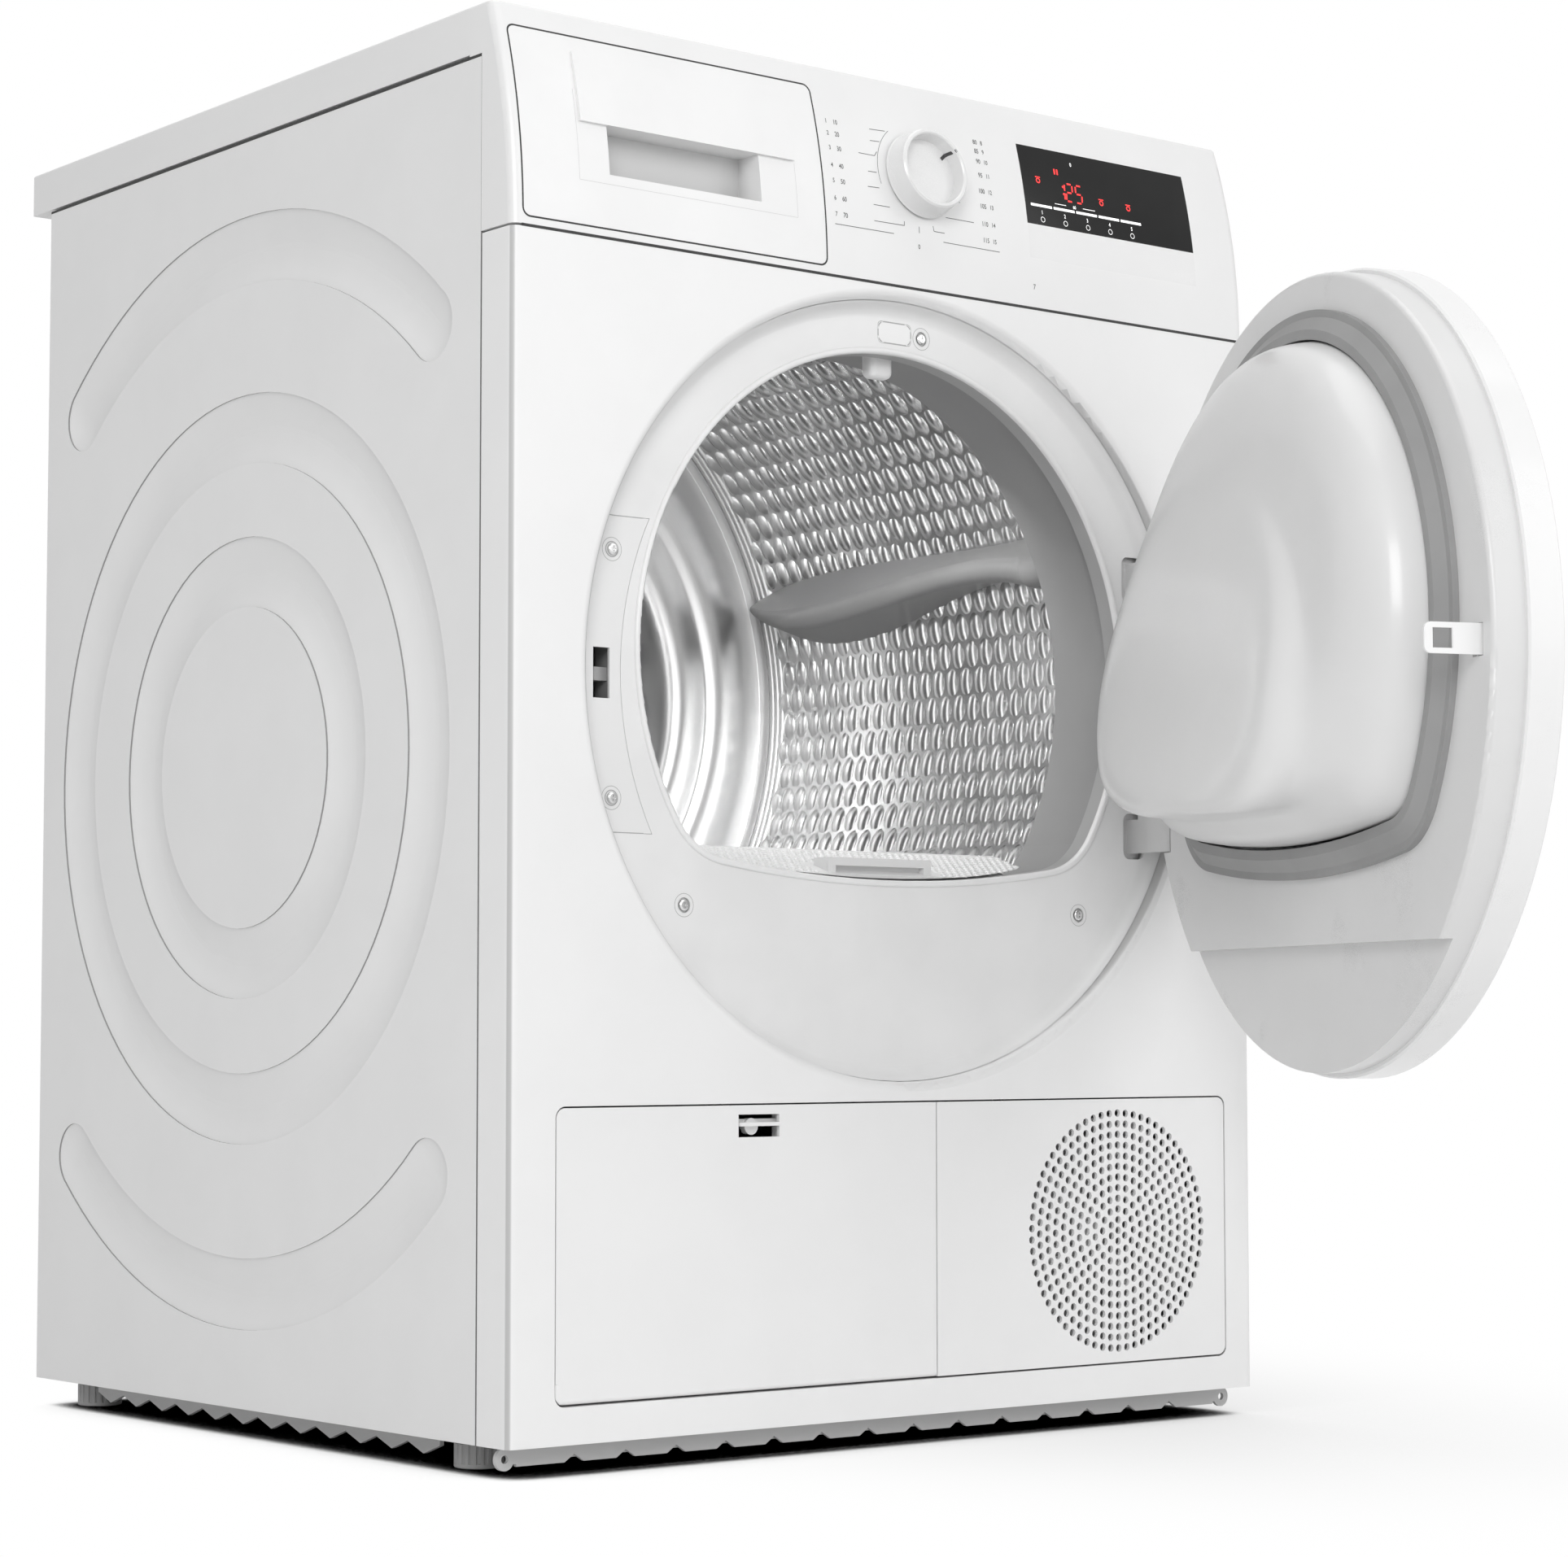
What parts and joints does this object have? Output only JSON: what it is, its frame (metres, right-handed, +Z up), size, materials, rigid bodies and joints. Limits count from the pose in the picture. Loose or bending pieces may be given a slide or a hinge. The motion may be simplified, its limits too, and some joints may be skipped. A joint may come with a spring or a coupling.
{
  "type": "clothes dryer",
  "caption": "Free-standing front-loading condenser dryer with a round door, drum, water container, service flap, filter and levelling feet.",
  "frame": {"origin": "middle of the four feet, on the floor", "axes": "+X to the right seen from the front, +Y from front to rear, +Z up"},
  "size_m": [0.598, 1.0526, 0.8545],
  "materials": {
    "white_paint": "smooth gloss powder coat",
    "white_worktop": "satin laminate",
    "white_plastic": "satin moulded plastic",
    "pale_grey_plastic": "fine satin texture",
    "grey_plastic": "satin moulded plastic",
    "seal_rubber": "smooth grey rubber",
    "milky_plastic": "smooth milky plastic",
    "black_window": "polished black",
    "drum_steel": "polished embossed stainless steel",
    "paddle_plastic": "satin grey",
    "zinc_steel": "zinc-coated sheet",
    "base_plastic": "grained grey plastic",
    "foot_plastic": "moulded plastic",
    "inner_plastic": "plain moulding",
    "motor_metal": "painted dark",
    "shaft_steel": "turned steel",
    "exchanger_aluminium": "bare fins",
    "board": "lacquered board",
    "belt_rubber": "ribbed belt",
    "hose_rubber": "smooth hose",
    "felt": "pressed felt",
    "lamp_glass": "frosted"
  },
  "bodies": {
    "cabinet": {"base_unit": "base_plastic", "base_skirt": "base_plastic", "side_panel_left": "white_paint", "side_panel_right": "white_paint", "rear_panel": "zinc_steel", "rear_duct_cover": "zinc_steel", "front_panel": "white_paint", "worktop": "white_worktop", "control_panel": "white_plastic", "display_window": "black_window", "key_strip": "white_plastic", "control_board": "board", "container_guide": "inner_plastic", "porthole_bezel": "white_plastic", "front_throat": "grey_plastic", "latch_insert": "white_plastic", "bezel_screws": "zinc_steel", "drum_lamp": "lamp_glass", "drum_shield": "grey_plastic", "hinge_brackets": "zinc_steel", "heat_exchanger": "exchanger_aluminium", "heater_element": "exchanger_aluminium", "motor_housing": "motor_metal", "process_fan_housing": "inner_plastic", "inlet_grille": "white_plastic", "condensate_pump": "inner_plastic", "condensate_riser": "hose_rubber", "drive_belt": "belt_rubber", "drum_seals": "felt", "rear_bearing": "zinc_steel"},
    "door": {"door_front_panel": "white_plastic", "door_outer_ring": "white_plastic", "door_inner_frame": "pale_grey_plastic", "door_seal": "seal_rubber", "door_bowl": "milky_plastic", "hinge_leaves": "zinc_steel", "latch_strike": "zinc_steel"},
    "knob": {"program_knob": "white_plastic"},
    "container": {"condensate_tank": "inner_plastic", "container_front": "white_plastic"},
    "flap": {"service_flap": "white_plastic"},
    "flap_catch": {"flap_latch_lever": "white_plastic"},
    "filter": {"lint_filter": "pale_grey_plastic"},
    "drum": {"drum_shell": "drum_steel", "drum_back": "drum_steel", "drum_paddles": "paddle_plastic"},
    "rotor": {"motor_shaft": "shaft_steel", "cooling_fan_wheel": "inner_plastic", "process_fan_wheel": "inner_plastic"},
    "roller_left": {"support_roller_left": "inner_plastic"},
    "roller_right": {"support_roller_right": "inner_plastic"},
    "tensioner": {"tensioner_arm": "zinc_steel"},
    "idler": {"tensioner_pulley": "inner_plastic"},
    "lever_left": {"exchanger_lever_left": "inner_plastic"},
    "lever_right": {"exchanger_lever_right": "inner_plastic"},
    "door_catch": {"catch_bolt": "inner_plastic"},
    "foot_body_front_left": {"foot_front_left": "foot_plastic"},
    "foot_body_front_right": {"foot_front_right": "foot_plastic"},
    "foot_body_rear_left": {"foot_rear_left": "foot_plastic"},
    "foot_body_rear_right": {"foot_rear_right": "foot_plastic"}
  },
  "joints": [
    {"name": "door_hinge", "type": "hinge", "parent": "cabinet", "child": "door", "pos_m": [0.225, -0.3245, 0.466], "axis": [0, 0, 1], "range_deg": [-68.3, 36.7]},
    {"name": "knob_turn", "type": "hinge", "parent": "cabinet", "child": "knob", "pos_m": [0.016, -0.29989, 0.792], "axis": [0, -0.9838, 0.1791], "continuous": true},
    {"name": "container_slide", "type": "slide", "parent": "cabinet", "child": "container", "axis": [0, -1, 0], "range_m": [0, 0.4]},
    {"name": "flap_hinge", "type": "hinge", "parent": "cabinet", "child": "flap", "pos_m": [-0.1224, -0.302, 0.046], "axis": [1, 0, 0], "range_deg": [0, 90]},
    {"name": "flap_catch_press", "type": "slide", "parent": "flap", "child": "flap_catch", "axis": [0, 0, -1], "range_m": [0, 0.0025], "stiffness_N_per_m": 300},
    {"name": "filter_lift", "type": "slide", "parent": "cabinet", "child": "filter", "axis": [0, 0, 1], "range_m": [0, 0.16]},
    {"name": "drum_spin", "type": "hinge", "parent": "cabinet", "child": "drum", "pos_m": [0, -0.0065, 0.499], "axis": [0, 1, 0], "continuous": true},
    {"name": "rotor_spin", "type": "hinge", "parent": "cabinet", "child": "rotor", "pos_m": [0.1767, -0.0365, 0.125], "axis": [0, 1, 0], "continuous": true},
    {"name": "roller_left_spin", "type": "hinge", "parent": "cabinet", "child": "roller_left", "pos_m": [-0.15075, -0.1765, 0.23789], "axis": [0, 1, 0], "continuous": true},
    {"name": "roller_right_spin", "type": "hinge", "parent": "cabinet", "child": "roller_right", "pos_m": [0.15075, -0.1765, 0.23789], "axis": [0, 1, 0], "continuous": true},
    {"name": "tensioner_swing", "type": "hinge", "parent": "cabinet", "child": "tensioner", "pos_m": [0.128, -0.1455, 0.062], "axis": [0, 1, 0], "range_deg": [-6, 0], "stiffness_Nm_per_rad": 3},
    {"name": "idler_spin", "type": "hinge", "parent": "tensioner", "child": "idler", "pos_m": [0.08611, -0.1525, 0.12847], "axis": [0, 1, 0], "continuous": true},
    {"name": "lever_left_turn", "type": "hinge", "parent": "cabinet", "child": "lever_left", "pos_m": [-0.222, -0.2835, 0.098], "axis": [0, 1, 0], "range_deg": [0, 90]},
    {"name": "lever_right_turn", "type": "hinge", "parent": "cabinet", "child": "lever_right", "pos_m": [-0.028, -0.2835, 0.098], "axis": [0, 1, 0], "range_deg": [0, 90]},
    {"name": "door_catch_slide", "type": "slide", "parent": "cabinet", "child": "door_catch", "axis": [1, 0, 0], "range_m": [0, 0.0037], "stiffness_N_per_m": 300},
    {"name": "foot_turn_front_left", "type": "hinge", "parent": "cabinet", "child": "foot_body_front_left", "pos_m": [-0.267, -0.2305, 0], "axis": [0, 0, 1], "range_deg": [-180, 180]},
    {"name": "foot_turn_front_right", "type": "hinge", "parent": "cabinet", "child": "foot_body_front_right", "pos_m": [0.267, -0.2305, 0], "axis": [0, 0, 1], "range_deg": [-180, 180]},
    {"name": "foot_turn_rear_left", "type": "hinge", "parent": "cabinet", "child": "foot_body_rear_left", "pos_m": [-0.267, 0.2305, 0], "axis": [0, 0, 1], "range_deg": [-180, 180]},
    {"name": "foot_turn_rear_right", "type": "hinge", "parent": "cabinet", "child": "foot_body_rear_right", "pos_m": [0.267, 0.2305, 0], "axis": [0, 0, 1], "range_deg": [-180, 180]}
  ],
  "couplings": [
    {"joint": "rotor_spin", "follows": "drum_spin", "ratio": 24.735},
    {"joint": "roller_left_spin", "follows": "drum_spin", "ratio": -12.691},
    {"joint": "roller_right_spin", "follows": "drum_spin", "ratio": -12.691},
    {"joint": "idler_spin", "follows": "drum_spin", "ratio": -13.892}
  ]
}
